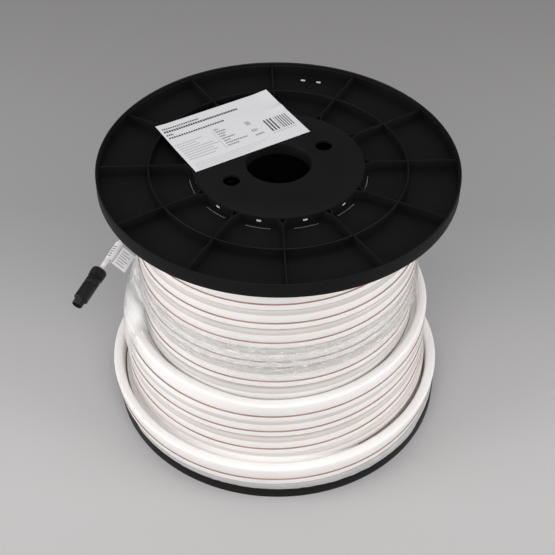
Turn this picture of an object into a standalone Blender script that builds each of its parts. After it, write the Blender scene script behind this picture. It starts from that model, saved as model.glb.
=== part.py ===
"""Reel of LED neon flex: two ribbed flanges, a drum, the wound strip and its feed lead.

Metres, +Z up. The reel stands on one flange, its axis on Z, its lower rim at z = 0.
Run with: blender --background --python part.py
"""
import math

import bmesh
import bpy
from mathutils import Matrix, Vector

CLEARANCE = 0.0003          # gap between pieces that touch

# Flange: a dished moulding with a rim, a web, a raised hub and ribs on its outer face
REEL_HEIGHT = 0.340
FLANGE_RADIUS = 0.200
RIM_HEIGHT = 0.0175
RIM_WALL = 0.003
WEB_THICKNESS = 0.003
HUB_RADIUS = 0.095
HUB_WALL = 0.003
HUB_RECESS = 0.0028         # the hub's face lies this far below the rim's edge
ARBOR_RADIUS = 0.036
COLLAR_WALL = 0.0025
RING_RIB_RADIUS = 0.1426
RIB_THICKNESS = 0.002
RIB_RECESS = 0.0031
RIB_COUNT = 12
RIB_AZIMUTH = math.radians(2.7)
DRIVE_HOLE_RADIUS = 0.0095
DRIVE_HOLE_PITCH = 0.060    # distance of each drive hole from the axis
DRIVE_HOLE_RIB = 1          # the drive holes lie in line with this rib and the opposite one
WINDOW_WIDTH = 0.0065
WINDOW_DEPTH = 0.0025
TIE_SLOT_WIDTH = 0.006
TIE_SLOT_DEPTH = 0.004
TIE_SLOT_MARGIN = 0.0154    # distance of each tie slot's middle from the flange's edge
TIE_SLOT_AZIMUTHS = (math.radians(75.0), math.radians(81.0))

# Drum, and the packing disc under the winding
DRUM_WALL = 0.003
DISC_THICKNESS = 0.0075
DISC_MARGIN = 0.002

# Neon flex: a flat base with a half-round top, wound on edge
STRIP_THICKNESS = 0.012
STRIP_HEIGHT = 0.026
LAYER_COUNT = 5
INNER_SLACK = 0.0067
TURN_COUNT = 10
OUTER_TURN_COUNT = 4
OUTER_TURN_PITCH = 0.0283
OUTER_START = 0.0068        # rise of the lowest outer turn above the packing disc
OUTER_SLACK = 0.0080        # loose space behind the outer turns
LAST_SLACK = 0.0078         # loose space behind the last turn
OUTER_OFFSET = -0.0015      # the outer turns have slid a little towards -X
LAST_OFFSET = -0.0018       # and so has the last turn

# Tail of the strip, which climbs over the outer turns at the back
TAIL_START = math.radians(40.0)
TAIL_END = math.radians(120.0)
TAIL_RISE = 0.0155
TAIL_SPREAD = 0.0105
TAIL_STATIONS = 17
END_CAP_LENGTH = 0.012
END_CAP_WALL = 0.0008

# Feed lead with its plug, label and tag
LEAD_RADIUS = 0.003
LEAD_STEP = 0.013
LEAD_ROUTE = (
    (-0.1280, 0.1345, 0.1757),
    (-0.1475, 0.1185, 0.1766),
    (-0.1680, 0.0955, 0.1773),
    (-0.1830, 0.0700, 0.1775),
    (-0.1912, 0.0522, 0.1773),
    (-0.2007, 0.0259, 0.1760),
    (-0.2120, 0.0020, 0.1730),
)
PLUG_DIRECTION = (-0.43, -0.87, -0.24)
NUT_RADIUS = 0.0096
NUT_LENGTH = 0.013
PLUG_RADIUS = 0.0088
PLUG_LENGTH = 0.033
PLUG_TIP_RADIUS = 0.0065
PLUG_TIP_LENGTH = 0.008
LABEL_LENGTH = 0.030
LABEL_GAP = 0.0010
LABEL_THICKNESS = 0.0005
LABEL_FROM_PLUG = 0.030     # distance of the label's middle from the plug, along the lead
TAG_WIDTH = 0.020
TAG_SIDE = (0.80, -0.15, -0.58)

# Sticker on the upper flange, and stretch film round the winding
STICKER_LENGTH = 0.147
STICKER_WIDTH = 0.097
STICKER_THICKNESS = 0.0004
STICKER_CENTRE = (-0.0526, 0.0610)
STICKER_AZIMUTH = math.radians(31.7)
FILM_BOTTOM = 0.150
FILM_TOP = 0.230
FILM_THICKNESS = 0.0005

# Facets
FLANGE_STEPS = 60
WINDING_STEPS = 45
LEAD_SIDES_LEVEL = 3
SMALL_STEPS = 20
DOME_STEPS = 4
ROUTE_SUBSTEPS = 20         # points worked out between two points of the lead's route
MERGE_DISTANCE = 0.00001

# Fits worked out from the sizes above
WEB_FACE = RIM_HEIGHT - WEB_THICKNESS
DRUM_BASE = RIM_HEIGHT + CLEARANCE
DRUM_TOP = REEL_HEIGHT - RIM_HEIGHT - CLEARANCE
DISC_TOP = DRUM_BASE + DISC_THICKNESS
WINDING_BASE = DISC_TOP + CLEARANCE
WINDING_TOP = DRUM_TOP
TURN_PITCH = (WINDING_TOP - WINDING_BASE - STRIP_HEIGHT) / (TURN_COUNT - 1)
DOME_RADIUS = STRIP_THICKNESS / 2
WINDING_BORE = HUB_RADIUS + CLEARANCE
WINDING_RADIUS = WINDING_BORE + INNER_SLACK + LAYER_COUNT * STRIP_THICKNESS
FILM_BORE = WINDING_RADIUS + CLEARANCE
OUTER_BORE = WINDING_RADIUS + CLEARANCE + abs(OUTER_OFFSET)
OUTER_RADIUS = WINDING_RADIUS + OUTER_SLACK + STRIP_THICKNESS
OUTER_BASE = WINDING_BASE + OUTER_START
OUTER_TOP = OUTER_BASE + (OUTER_TURN_COUNT - 1) * OUTER_TURN_PITCH + STRIP_HEIGHT
LAST_BORE = OUTER_RADIUS + CLEARANCE + abs(LAST_OFFSET - OUTER_OFFSET)
LAST_RADIUS = OUTER_RADIUS + LAST_SLACK + STRIP_THICKNESS
TAIL_RADIUS = FILM_BORE + FILM_THICKNESS + CLEARANCE + DOME_RADIUS
TAIL_BASE = OUTER_TOP + CLEARANCE

REEL = bpy.data.collections.new("led_neon_flex_reel")
CUTTERS = bpy.data.collections.new("cutters")


def clear_scene():
    """Remove what the scene holds and link the two collections."""
    for obj in list(bpy.data.objects):
        bpy.data.objects.remove(obj, do_unlink=True)
    bpy.context.scene.collection.children.link(REEL)
    bpy.context.scene.collection.children.link(CUTTERS)


def make_material(name, colour, roughness, alpha=1.0):
    """A Principled material with one colour and roughness."""
    material = bpy.data.materials.new(name)
    material.use_nodes = True
    shader = material.node_tree.nodes["Principled BSDF"]
    shader.inputs["Base Color"].default_value = (*colour, 1.0)
    shader.inputs["Roughness"].default_value = roughness
    shader.inputs["Metallic"].default_value = 0.0
    shader.inputs["Alpha"].default_value = alpha
    return material


def new_object(name, data, material=None):
    """Link new data as an object of the reel."""
    obj = bpy.data.objects.new(name, data)
    REEL.objects.link(obj)
    if material is not None:
        data.materials.append(material)
    return obj


def make_cutter(obj):
    """Keep an object as a cutter only."""
    REEL.objects.unlink(obj)
    CUTTERS.objects.link(obj)
    obj.hide_render = True
    obj.display_type = "WIRE"
    return obj


def add_boolean(obj, other, operation):
    """Join another object to this one, or cut it out of it."""
    modifier = obj.modifiers.new(other.name, "BOOLEAN")
    modifier.operation = operation
    modifier.solver = "EXACT"
    modifier.object = other


def turned(name, profile, steps, material=None):
    """A closed profile of (radius, height) points, turned once round Z.

    The profile runs down its outer side, from top to bottom.
    """
    mesh = bpy.data.meshes.new(name)
    points = [(radius, 0.0, height) for radius, height in profile]
    count = len(points)
    edges = [(index, (index + 1) % count) for index in range(count)]
    mesh.from_pydata(points, edges, [])
    obj = new_object(name, mesh, material)
    screw = obj.modifiers.new("turn", "SCREW")
    screw.axis = "Z"
    screw.angle = math.tau
    screw.steps = steps
    screw.render_steps = steps
    screw.use_merge_vertices = True
    screw.merge_threshold = MERGE_DISTANCE
    return obj


def boxes(name, blocks, material=None):
    """One mesh of boxes, each given by its size, its centre and a turn about Z."""
    shape = bmesh.new()
    for size, centre, azimuth in blocks:
        made = bmesh.ops.create_cube(shape, size=1.0)["verts"]
        bmesh.ops.scale(shape, verts=made, vec=Vector(size))
        bmesh.ops.translate(shape, verts=made, vec=Vector(centre))
        turn = Matrix.Rotation(azimuth, 3, "Z")
        bmesh.ops.rotate(shape, verts=made, cent=Vector(), matrix=turn)
    mesh = bpy.data.meshes.new(name)
    shape.to_mesh(mesh)
    shape.free()
    return new_object(name, mesh, material)


def cylinders(name, places, radius, height):
    """One mesh of upright cylinders at the given centres."""
    shape = bmesh.new()
    for centre in places:
        bmesh.ops.create_cone(
            shape, cap_ends=True, segments=SMALL_STEPS, radius1=radius, radius2=radius,
            depth=height, matrix=Matrix.Translation(centre))
    mesh = bpy.data.meshes.new(name)
    shape.to_mesh(mesh)
    shape.free()
    return new_object(name, mesh)


def around(radius, azimuth, height=0.0):
    """A point at a radius, azimuth and height."""
    return Vector((radius * math.cos(azimuth), radius * math.sin(azimuth), height))


def flange_profile():
    """Section of the flange, its outer face up and its rim's edge at height 0."""
    hub_inside = HUB_RADIUS - HUB_WALL
    collar_outside = ARBOR_RADIUS + COLLAR_WALL
    hub_underside = HUB_RECESS + WEB_THICKNESS
    rib_inside = RING_RIB_RADIUS - RIB_THICKNESS / 2
    rib_outside = RING_RIB_RADIUS + RIB_THICKNESS / 2
    rim_inside = FLANGE_RADIUS - RIM_WALL
    return [
        (FLANGE_RADIUS, 0.0),
        (FLANGE_RADIUS, -RIM_HEIGHT),
        (hub_inside, -RIM_HEIGHT),
        (hub_inside, -hub_underside),
        (collar_outside, -hub_underside),
        (collar_outside, -RIM_HEIGHT),
        (ARBOR_RADIUS, -RIM_HEIGHT),
        (ARBOR_RADIUS, -HUB_RECESS),
        (HUB_RADIUS, -HUB_RECESS),
        (HUB_RADIUS, -WEB_FACE),
        (rib_inside, -WEB_FACE),
        (rib_inside, -HUB_RECESS),
        (rib_outside, -HUB_RECESS),
        (rib_outside, -WEB_FACE),
        (rim_inside, -WEB_FACE),
        (rim_inside, 0.0),
    ]


def radial_ribs(name):
    """The ribs from the hub to the rim, let half a wall into both and into the web."""
    inner = HUB_RADIUS - HUB_WALL / 2
    outer = FLANGE_RADIUS - RIM_WALL / 2
    bottom = WEB_FACE + WEB_THICKNESS / 2
    size = (outer - inner, RIB_THICKNESS, bottom - RIB_RECESS)
    centre = ((outer + inner) / 2, 0.0, -(bottom + RIB_RECESS) / 2)
    blocks = []
    for index in range(RIB_COUNT):
        azimuth = RIB_AZIMUTH + math.tau * index / RIB_COUNT
        blocks.append((size, centre, azimuth))
    return make_cutter(boxes(name, blocks))


def web_windows(name):
    """Small windows through the web, one between each two ribs and two for tying the strip."""
    blocks = []
    through = 3 * WEB_THICKNESS
    middle = -(WEB_FACE + WEB_THICKNESS / 2)
    place = HUB_RADIUS + RIB_THICKNESS / 2 + WINDOW_DEPTH / 2
    for index in range(RIB_COUNT):
        azimuth = RIB_AZIMUTH + math.tau * (index + 0.5) / RIB_COUNT
        blocks.append(((WINDOW_DEPTH, WINDOW_WIDTH, through), (place, 0.0, middle), azimuth))
    for azimuth in TIE_SLOT_AZIMUTHS:
        size = (TIE_SLOT_DEPTH, TIE_SLOT_WIDTH, through)
        centre = (FLANGE_RADIUS - TIE_SLOT_MARGIN, 0.0, middle)
        blocks.append((size, centre, azimuth))
    return make_cutter(boxes(name, blocks))


def drive_holes(name):
    """Two holes through the hub's face, on opposite sides of the arbor hole."""
    azimuth = RIB_AZIMUTH + math.tau * DRIVE_HOLE_RIB / RIB_COUNT
    height = -(HUB_RECESS + WEB_THICKNESS / 2)
    places = [around(DRIVE_HOLE_PITCH, azimuth + turn, height) for turn in (0.0, math.pi)]
    return make_cutter(cylinders(name, places, DRIVE_HOLE_RADIUS, 3 * WEB_THICKNESS))


def flange(name, material):
    """One flange with its ribs joined on and its holes cut."""
    obj = turned(name, flange_profile(), FLANGE_STEPS, material)
    add_boolean(obj, radial_ribs(name + "_ribs"), "UNION")
    add_boolean(obj, web_windows(name + "_windows"), "DIFFERENCE")
    add_boolean(obj, drive_holes(name + "_drive_holes"), "DIFFERENCE")
    return obj


def place_flange(obj, location, rotation):
    """Move a flange and its cutters to their place."""
    for piece in [obj] + [modifier.object for modifier in obj.modifiers if modifier.type == "BOOLEAN"]:
        piece.location = location
        piece.rotation_euler = rotation


def flanges(material):
    """The two flanges: one moulding, the lower one turned over with its holes in line."""
    top = flange("flange_top", material)
    place_flange(top, (0.0, 0.0, REEL_HEIGHT), (0.0, 0.0, 0.0))
    bottom = flange("flange_bottom", material)
    hole_azimuth = RIB_AZIMUTH + math.tau * DRIVE_HOLE_RIB / RIB_COUNT
    place_flange(bottom, (0.0, 0.0, 0.0), (math.pi, 0.0, 2 * hole_azimuth))


def ring(name, inner, outer, bottom, top, material):
    """A plain ring of rectangular section."""
    profile = [(outer, top), (outer, bottom), (inner, bottom), (inner, top)]
    return turned(name, profile, WINDING_STEPS, material)


def turn_side(radius, base):
    """Outer side of one turn of strip, from its dome's crown down to its base."""
    points = [(radius - DOME_RADIUS, base + STRIP_HEIGHT)]
    middle = base + STRIP_HEIGHT - DOME_RADIUS
    for angle in (math.radians(45), 0.0):
        reach = radius - DOME_RADIUS + DOME_RADIUS * math.cos(angle)
        points.append((reach, middle + DOME_RADIUS * math.sin(angle)))
    points.append((radius, base))
    return points


def stacked_turns(name, bore, radius, base, count, pitch, offset, material):
    """Turns of strip on top of each other, as one turned solid with a bore."""
    profile = []
    for index in reversed(range(count)):
        profile += turn_side(radius, base + index * pitch)
        if index > 0:
            profile.append((radius - DOME_RADIUS, base + index * pitch))
    shoulder = base + (count - 1) * pitch + STRIP_HEIGHT / 2
    crown = base + (count - 1) * pitch + STRIP_HEIGHT
    inner_side = radius - STRIP_THICKNESS
    profile.append((bore, base))
    if inner_side - bore > DOME_RADIUS:
        profile.append((bore, shoulder))
        profile.append((inner_side, shoulder))
        profile.append((inner_side, crown - DOME_RADIUS))
    else:
        profile.append((bore, crown))
    obj = turned(name, profile, WINDING_STEPS, material)
    obj.location.x = offset
    return obj


def winding(material):
    """The wound layers as one solid, its ends showing the turn of each layer."""
    profile = []
    for index in reversed(range(TURN_COUNT)):
        base = WINDING_BASE + index * TURN_PITCH
        profile += turn_side(WINDING_RADIUS, base)
        if index > 0:
            profile.append((WINDING_RADIUS - DOME_RADIUS, base))
    profile.append((WINDING_BORE, WINDING_BASE))
    first_crown = WINDING_RADIUS - (LAYER_COUNT - 1) * STRIP_THICKNESS - DOME_RADIUS
    profile.append((WINDING_BORE, WINDING_TOP - DOME_RADIUS))
    profile.append((first_crown - DOME_RADIUS, WINDING_TOP - DOME_RADIUS))
    for layer in range(LAYER_COUNT - 1):
        crown = first_crown + layer * STRIP_THICKNESS
        profile.append((crown, WINDING_TOP))
        profile.append((crown + DOME_RADIUS, WINDING_TOP - DOME_RADIUS))
    return turned("neon_winding", profile, WINDING_STEPS, material)


def section_loft(name, stations, material):
    """A solid through a list of sections, each a list of as many points."""
    shape = bmesh.new()
    rows = [[shape.verts.new(point) for point in station] for station in stations]
    count = len(rows[0])
    for first, second in zip(rows, rows[1:]):
        for index in range(count):
            after = (index + 1) % count
            shape.faces.new((first[index], second[index], second[after], first[after]))
    shape.faces.new(rows[0])
    shape.faces.new(reversed(rows[-1]))
    bmesh.ops.recalc_face_normals(shape, faces=shape.faces[:])
    mesh = bpy.data.meshes.new(name)
    shape.to_mesh(mesh)
    shape.free()
    return new_object(name, mesh, material)


def strip_section(grow=0.0):
    """Section of the strip as (outward, up) from its base's middle."""
    half = DOME_RADIUS + grow
    crown = STRIP_HEIGHT - DOME_RADIUS
    points = [(-half, -grow), (half, -grow)]
    for step in range(DOME_STEPS + 1):
        angle = math.pi * step / DOME_STEPS
        points.append((half * math.cos(angle), crown + half * math.sin(angle)))
    return points


def tail_place(share):
    """Radius, azimuth and base height of the tail at a share of its length."""
    ease = share * share * (3 - 2 * share)
    azimuth = TAIL_START + (TAIL_END - TAIL_START) * share
    return TAIL_RADIUS + TAIL_SPREAD * ease, azimuth, TAIL_BASE + TAIL_RISE * ease


def tail_section(share, grow=0.0):
    """The strip's section at a share of the tail's length."""
    radius, azimuth, base = tail_place(share)
    return [around(radius + out, azimuth, base + up) for out, up in strip_section(grow)]


def tail(material, cap_material):
    """The strip's tail at the back, with the cap on its end. Returns the lead's exit."""
    shares = [index / (TAIL_STATIONS - 1) for index in range(TAIL_STATIONS)]
    section_loft("neon_tail", [tail_section(share) for share in shares], material)
    radius, azimuth, base = tail_place(1.0)
    start = azimuth + CLEARANCE / radius
    end = start + END_CAP_LENGTH / radius
    sections = []
    for angle in (start, end):
        outline = strip_section(END_CAP_WALL)
        sections.append([around(radius + out, angle, base + up) for out, up in outline])
    section_loft("strip_end_cap", sections, cap_material)
    heading = around(1.0, end + math.pi / 2)
    return around(radius, end, base + STRIP_HEIGHT / 2) + heading * CLEARANCE, heading


def smooth_route(points, step):
    """Points at an even step along a smooth curve through the given points."""
    ends = [2 * points[0] - points[1]] + points + [2 * points[-1] - points[-2]]
    fine = []
    for index in range(1, len(ends) - 2):
        before, first, second, after = ends[index - 1:index + 3]
        for part in range(ROUTE_SUBSTEPS):
            t = part / ROUTE_SUBSTEPS
            fine.append(0.5 * (2 * first + (second - before) * t
                               + (2 * before - 5 * first + 4 * second - after) * t ** 2
                               + (3 * first - before - 3 * second + after) * t ** 3))
    fine.append(points[-1])
    travelled = [0.0]
    for first, second in zip(fine, fine[1:]):
        travelled.append(travelled[-1] + (second - first).length)
    count = max(2, round(travelled[-1] / step))
    route = []
    place = 0
    for index in range(count + 1):
        goal = travelled[-1] * index / count
        while place < len(fine) - 2 and travelled[place + 1] < goal:
            place += 1
        share = (goal - travelled[place]) / (travelled[place + 1] - travelled[place])
        route.append(fine[place].lerp(fine[place + 1], share))
    return route


def tube(name, route, radius, material):
    """A round cord along a route."""
    curve = bpy.data.curves.new(name, "CURVE")
    curve.dimensions = "3D"
    curve.bevel_depth = radius
    curve.bevel_resolution = LEAD_SIDES_LEVEL
    curve.use_fill_caps = True
    spline = curve.splines.new("POLY")
    spline.points.add(len(route) - 1)
    for point, place in zip(spline.points, route):
        point.co = (*place, 1.0)
    return new_object(name, curve, material)


def turned_along(name, profile, start, direction, material):
    """A turned piece whose axis runs from a start point in a direction."""
    obj = turned(name, profile, SMALL_STEPS, material)
    obj.location = start
    obj.rotation_mode = "QUATERNION"
    obj.rotation_quaternion = direction.to_track_quat("Z", "Y")
    return obj


def plug(start, direction, material, nut_material):
    """The waterproof plug on the lead's end: a nut and a body with a narrower tip."""
    nut = [(0.0, NUT_LENGTH), (NUT_RADIUS, NUT_LENGTH), (NUT_RADIUS, 0.0), (0.0, 0.0)]
    turned_along("plug_nut", nut, start, direction, nut_material)
    body_end = PLUG_LENGTH
    tip_end = PLUG_LENGTH + PLUG_TIP_LENGTH
    body = [
        (0.0, tip_end), (PLUG_TIP_RADIUS, tip_end), (PLUG_TIP_RADIUS, body_end),
        (PLUG_RADIUS, body_end), (PLUG_RADIUS, 0.0), (0.0, 0.0),
    ]
    place = start + direction * (NUT_LENGTH + CLEARANCE)
    turned_along("plug_body", body, place, direction, material)


def label_frame(route):
    """Middle, direction and side of the label on the lead."""
    travelled = 0.0
    index = len(route) - 1
    while travelled < LABEL_FROM_PLUG:
        travelled += (route[index] - route[index - 1]).length
        index -= 1
    middle = (route[index] + route[index + 1]) / 2
    direction = (route[index + 1] - route[index]).normalized()
    side = Vector(TAG_SIDE)
    side = (side - direction * side.dot(direction)).normalized()
    return middle, direction, side


def label_and_tag(route, material):
    """The paper sleeve on the lead and the flag that stands off its side."""
    middle, direction, side = label_frame(route)
    inner = LEAD_RADIUS + LABEL_GAP
    outer = inner + LABEL_THICKNESS
    half = LABEL_LENGTH / 2
    profile = [(outer, half), (outer, -half), (inner, -half), (inner, half)]
    turned_along("lead_label", profile, middle, direction, material)
    tag = boxes("lead_tag", [((TAG_WIDTH, LABEL_THICKNESS, LABEL_LENGTH), (0, 0, 0), 0.0)], material)
    normal = direction.cross(side)
    turn = Matrix((side, normal, direction)).transposed().to_4x4()
    centre = middle + side * (outer + CLEARANCE + TAG_WIDTH / 2)
    tag.matrix_world = Matrix.Translation(centre) @ turn


def sticker(material):
    """The paper sticker, laid over the hub's face and the ribs."""
    bottom = REEL_HEIGHT - HUB_RECESS + CLEARANCE
    size = (STICKER_LENGTH, STICKER_WIDTH, STICKER_THICKNESS)
    obj = boxes("sticker", [(size, (0.0, 0.0, 0.0), 0.0)], material)
    obj.location = (*STICKER_CENTRE, bottom + STICKER_THICKNESS / 2)
    obj.rotation_euler.z = STICKER_AZIMUTH


def main():
    clear_scene()
    black = make_material("black_plastic", (0.012, 0.012, 0.012), 0.38)
    white = make_material("white_silicone", (0.86, 0.84, 0.81), 0.45)
    paper = make_material("white_paper", (0.82, 0.82, 0.82), 0.6)
    foam = make_material("grey_foam", (0.55, 0.54, 0.53), 0.8)
    clear = make_material("clear_film", (0.90, 0.90, 0.90), 0.12, alpha=0.3)
    rubber = make_material("black_connector", (0.015, 0.015, 0.015), 0.45)
    flanges(black)
    ring("drum_core", HUB_RADIUS - DRUM_WALL, HUB_RADIUS, DRUM_BASE, DRUM_TOP, black)
    disc_radius = FLANGE_RADIUS - DISC_MARGIN
    ring("packing_disc", WINDING_BORE, disc_radius, DRUM_BASE, DISC_TOP, foam)
    winding(white)
    stacked_turns(
        "neon_outer_turns", OUTER_BORE, OUTER_RADIUS, OUTER_BASE, OUTER_TURN_COUNT,
        OUTER_TURN_PITCH, OUTER_OFFSET, white)
    stacked_turns(
        "neon_last_turn", LAST_BORE, LAST_RADIUS, WINDING_BASE, 1, 0.0, LAST_OFFSET, white)
    ring("stretch_film", FILM_BORE, FILM_BORE + FILM_THICKNESS, FILM_BOTTOM, FILM_TOP, clear)
    start, heading = tail(white, white)
    direction = Vector(PLUG_DIRECTION).normalized()
    places = [Vector(point) for point in LEAD_ROUTE]
    straight_end = [places[-1] - direction * LEAD_STEP, places[-1]]
    points = [start, start + heading * LEAD_STEP] + places[:-1] + straight_end
    route = smooth_route(points, LEAD_STEP)
    tube("lead_cord", route, LEAD_RADIUS, white)
    plug(route[-1] + direction * CLEARANCE, direction, rubber, rubber)
    label_and_tag(route, paper)
    sticker(paper)


main()
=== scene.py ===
import math

import bmesh
import bpy
from mathutils import Matrix, Quaternion, Vector, noise


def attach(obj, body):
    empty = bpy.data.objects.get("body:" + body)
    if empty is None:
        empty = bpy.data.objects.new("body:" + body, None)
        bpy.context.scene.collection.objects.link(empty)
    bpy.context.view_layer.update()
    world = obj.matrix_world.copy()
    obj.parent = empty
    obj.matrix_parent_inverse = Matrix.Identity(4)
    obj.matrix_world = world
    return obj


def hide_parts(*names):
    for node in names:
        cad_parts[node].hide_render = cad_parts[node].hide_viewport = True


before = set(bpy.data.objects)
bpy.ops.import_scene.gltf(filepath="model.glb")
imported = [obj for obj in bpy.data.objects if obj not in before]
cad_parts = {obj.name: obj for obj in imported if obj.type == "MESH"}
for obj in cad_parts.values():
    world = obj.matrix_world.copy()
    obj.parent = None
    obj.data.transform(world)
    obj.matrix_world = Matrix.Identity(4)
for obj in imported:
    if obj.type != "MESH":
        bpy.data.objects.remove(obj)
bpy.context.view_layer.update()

# Sizes shared with the CAD source, in metres
CLEARANCE = 0.0003
REEL_HEIGHT = 0.340
FLANGE_RADIUS = 0.200
RIM_HEIGHT = 0.0175
RIM_WALL = 0.003
WEB_THICKNESS = 0.003
WEB_FACE = RIM_HEIGHT - WEB_THICKNESS
HUB_RADIUS = 0.095
HUB_WALL = 0.003
HUB_RECESS = 0.0028
ARBOR_RADIUS = 0.036
COLLAR_WALL = 0.0025
RING_RIB_RADIUS = 0.1426
RIB_RECESS = 0.0031
RIB_COUNT = 12
RIB_AZIMUTH = math.radians(2.7)
DRIVE_HOLE_RADIUS = 0.0095
DRIVE_HOLE_PITCH = 0.060
HOLE_AZIMUTH = RIB_AZIMUTH + math.tau / RIB_COUNT
TIE_SLOT_RADIUS = 0.1846
TIE_SLOT_AZIMUTHS = (math.radians(75.0), math.radians(81.0))
DISC_BASE = RIM_HEIGHT + CLEARANCE
DISC_TOP = DISC_BASE + 0.0075
STRIP_THICKNESS = 0.012
STRIP_HEIGHT = 0.026
DOME_RADIUS = STRIP_THICKNESS / 2
WINDING_BORE = HUB_RADIUS + CLEARANCE
WINDING_RADIUS = 0.162
WINDING_TOP = REEL_HEIGHT - RIM_HEIGHT - CLEARANCE
TAIL_END_RADIUS = 0.1796
TAIL_END_BASE = 0.1591
TAIL_END = math.radians(120.0)
CAP_LENGTH = 0.012
LEAD_RADIUS = 0.003
LEAD_STEP = 0.013
LEAD_ROUTE = (
    (-0.1280, 0.1345, 0.1757),
    (-0.1475, 0.1185, 0.1766),
    (-0.1680, 0.0955, 0.1773),
    (-0.1830, 0.0700, 0.1775),
    (-0.1912, 0.0522, 0.1773),
    (-0.2007, 0.0259, 0.1760),
    (-0.2120, 0.0020, 0.1730),
)
PLUG_DIRECTION = Vector((-0.43, -0.87, -0.24)).normalized()
NUT_RADIUS = 0.0096
NUT_LENGTH = 0.013
PLUG_RADIUS = 0.0088
PLUG_LENGTH = 0.033
PLUG_TIP_RADIUS = 0.0065
PLUG_TIP_LENGTH = 0.008
LABEL_LENGTH = 0.030
LABEL_RADIUS = 0.0045
LABEL_FROM_PLUG = 0.030
TAG_WIDTH = 0.020
TAG_SIDE = Vector((0.80, -0.15, -0.58))
STICKER_LENGTH = 0.147
STICKER_WIDTH = 0.097
STICKER_CENTRE = (-0.0526, 0.0610)
STICKER_AZIMUTH = math.radians(31.7)
STICKER_BASE = REEL_HEIGHT - HUB_RECESS + CLEARANCE


def around(radius, azimuth, height=0.0):
    return Vector((radius * math.cos(azimuth), radius * math.sin(azimuth), height))


def at(azimuth, radius, height):
    """A matrix that stands at a place round the reel's axis, its X outward."""
    return Matrix.Rotation(azimuth, 4, "Z") @ Matrix.Translation((radius, 0.0, height))


def box_section(radii, low, high):
    """A rectangle's corners as (radius, height) points."""
    inner, outer = radii
    return [(inner, low), (outer, low), (outer, high), (inner, high)]


def ease(value):
    value = min(1.0, max(0.0, value))
    return value * value * (3 - 2 * value)


def window(value, start, full, end_full, end):
    """1 between full and end_full, easing to 0 at start and end."""
    return ease((value - start) / (full - start)) * ease((end - value) / (end - end_full))


def linked(name, data):
    """A new object in the scene."""
    obj = bpy.data.objects.new(name, data)
    bpy.context.scene.collection.objects.link(obj)
    return obj


def look(obj, place, target):
    """Stand a camera or a light at a place, facing a target."""
    obj.location = place
    obj.rotation_mode = "QUATERNION"
    obj.rotation_quaternion = (Vector(target) - Vector(place)).to_track_quat("-Z", "Y")


# Camera, solved from the rims of both flanges
CAMERA_PLACE = (0.0, -1.0081, 1.0974)
CAMERA_AIM = (0.0, 0.0, 0.1652)
CAMERA_ROLL = 0.0090
CAMERA_LENS = 74.197


def make_camera():
    data = bpy.data.cameras.new("camera")
    data.sensor_width = 36.0
    data.lens = CAMERA_LENS
    data.clip_end = 20.0
    camera = linked("camera", data)
    look(camera, CAMERA_PLACE, CAMERA_AIM)
    camera.rotation_quaternion = (
        camera.rotation_quaternion @ Quaternion((0.0, 0.0, 1.0), CAMERA_ROLL))
    bpy.context.scene.camera = camera


make_camera()
bpy.context.scene.view_settings.view_transform = "Standard"


# Materials
GLOSS_SPREAD = 0.05


class Surface:
    """A Principled material and the nodes that feed it."""

    def __init__(self, name, roughness, **sockets):
        self.material = bpy.data.materials.new(name)
        self.material.use_nodes = True
        self.tree = self.material.node_tree
        self.shader = self.tree.nodes["Principled BSDF"]
        for key, value in {"Roughness": roughness, **sockets}.items():
            self.feed(key.replace("_", " "), value)

    def put(self, value, socket):
        """Set a socket to a value, or link an output to it."""
        if isinstance(value, bpy.types.NodeSocket):
            self.tree.links.new(value, socket)
        else:
            socket.default_value = value

    def feed(self, name, value):
        self.put(value, self.shader.inputs[name])

    def add(self, kind, output, **inputs):
        """A new node with its inputs set or linked; returns one of its outputs."""
        node = self.tree.nodes.new("ShaderNode" + kind)
        for key, value in inputs.items():
            self.put(value, node.inputs[key.replace("_", " ")])
        return node.outputs[output]

    def noise(self, place, scale, detail, stretch=(1.0, 1.0, 1.0), turn=0.0, distortion=0.0):
        """Noise at a place, stretched along the axes."""
        mapped = self.add("Mapping", "Vector", Vector=place, Scale=stretch,
                          Rotation=(0.0, 0.0, math.radians(turn)))
        return self.add("TexNoise", "Fac", Vector=mapped, Scale=scale, Detail=detail,
                        Distortion=distortion)

    def ramp(self, factor, stops):
        """A colour ramp of (position, colour) stops."""
        node = self.tree.nodes.new("ShaderNodeValToRGB")
        elements = node.color_ramp.elements
        for element, (position, colour) in zip(elements, (stops[0], stops[-1])):
            element.position = position
            element.color = (*colour, 1.0)
        for position, colour in stops[1:-1]:
            elements.new(position).color = (*colour, 1.0)
        self.put(factor, node.inputs["Fac"])
        return node.outputs["Color"]

    def spread(self, factor, low, high, start=0.3, end=0.7):
        """A number that follows a factor from low to high."""
        return self.add("MapRange", "Result", Value=factor, From_Min=start, From_Max=end,
                        To_Min=low, To_Max=high)

    def calculate(self, operation, first, second, clamp=False):
        node = self.tree.nodes.new("ShaderNodeMath")
        node.operation = operation
        node.use_clamp = clamp
        self.put(first, node.inputs[0])
        self.put(second, node.inputs[1])
        return node.outputs["Value"]

    def mix(self, factor, first, second):
        """One colour turning into another as a factor grows."""
        node = self.tree.nodes.new("ShaderNodeMix")
        node.data_type = "RGBA"
        self.put(factor, node.inputs["Factor"])
        self.put(first, node.inputs["A"])
        self.put((*second, 1.0), node.inputs["B"])
        return node.outputs["Result"]

    def bump(self, height, distance):
        self.feed("Normal", self.add("Bump", "Normal", Height=height, Distance=distance))


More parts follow.
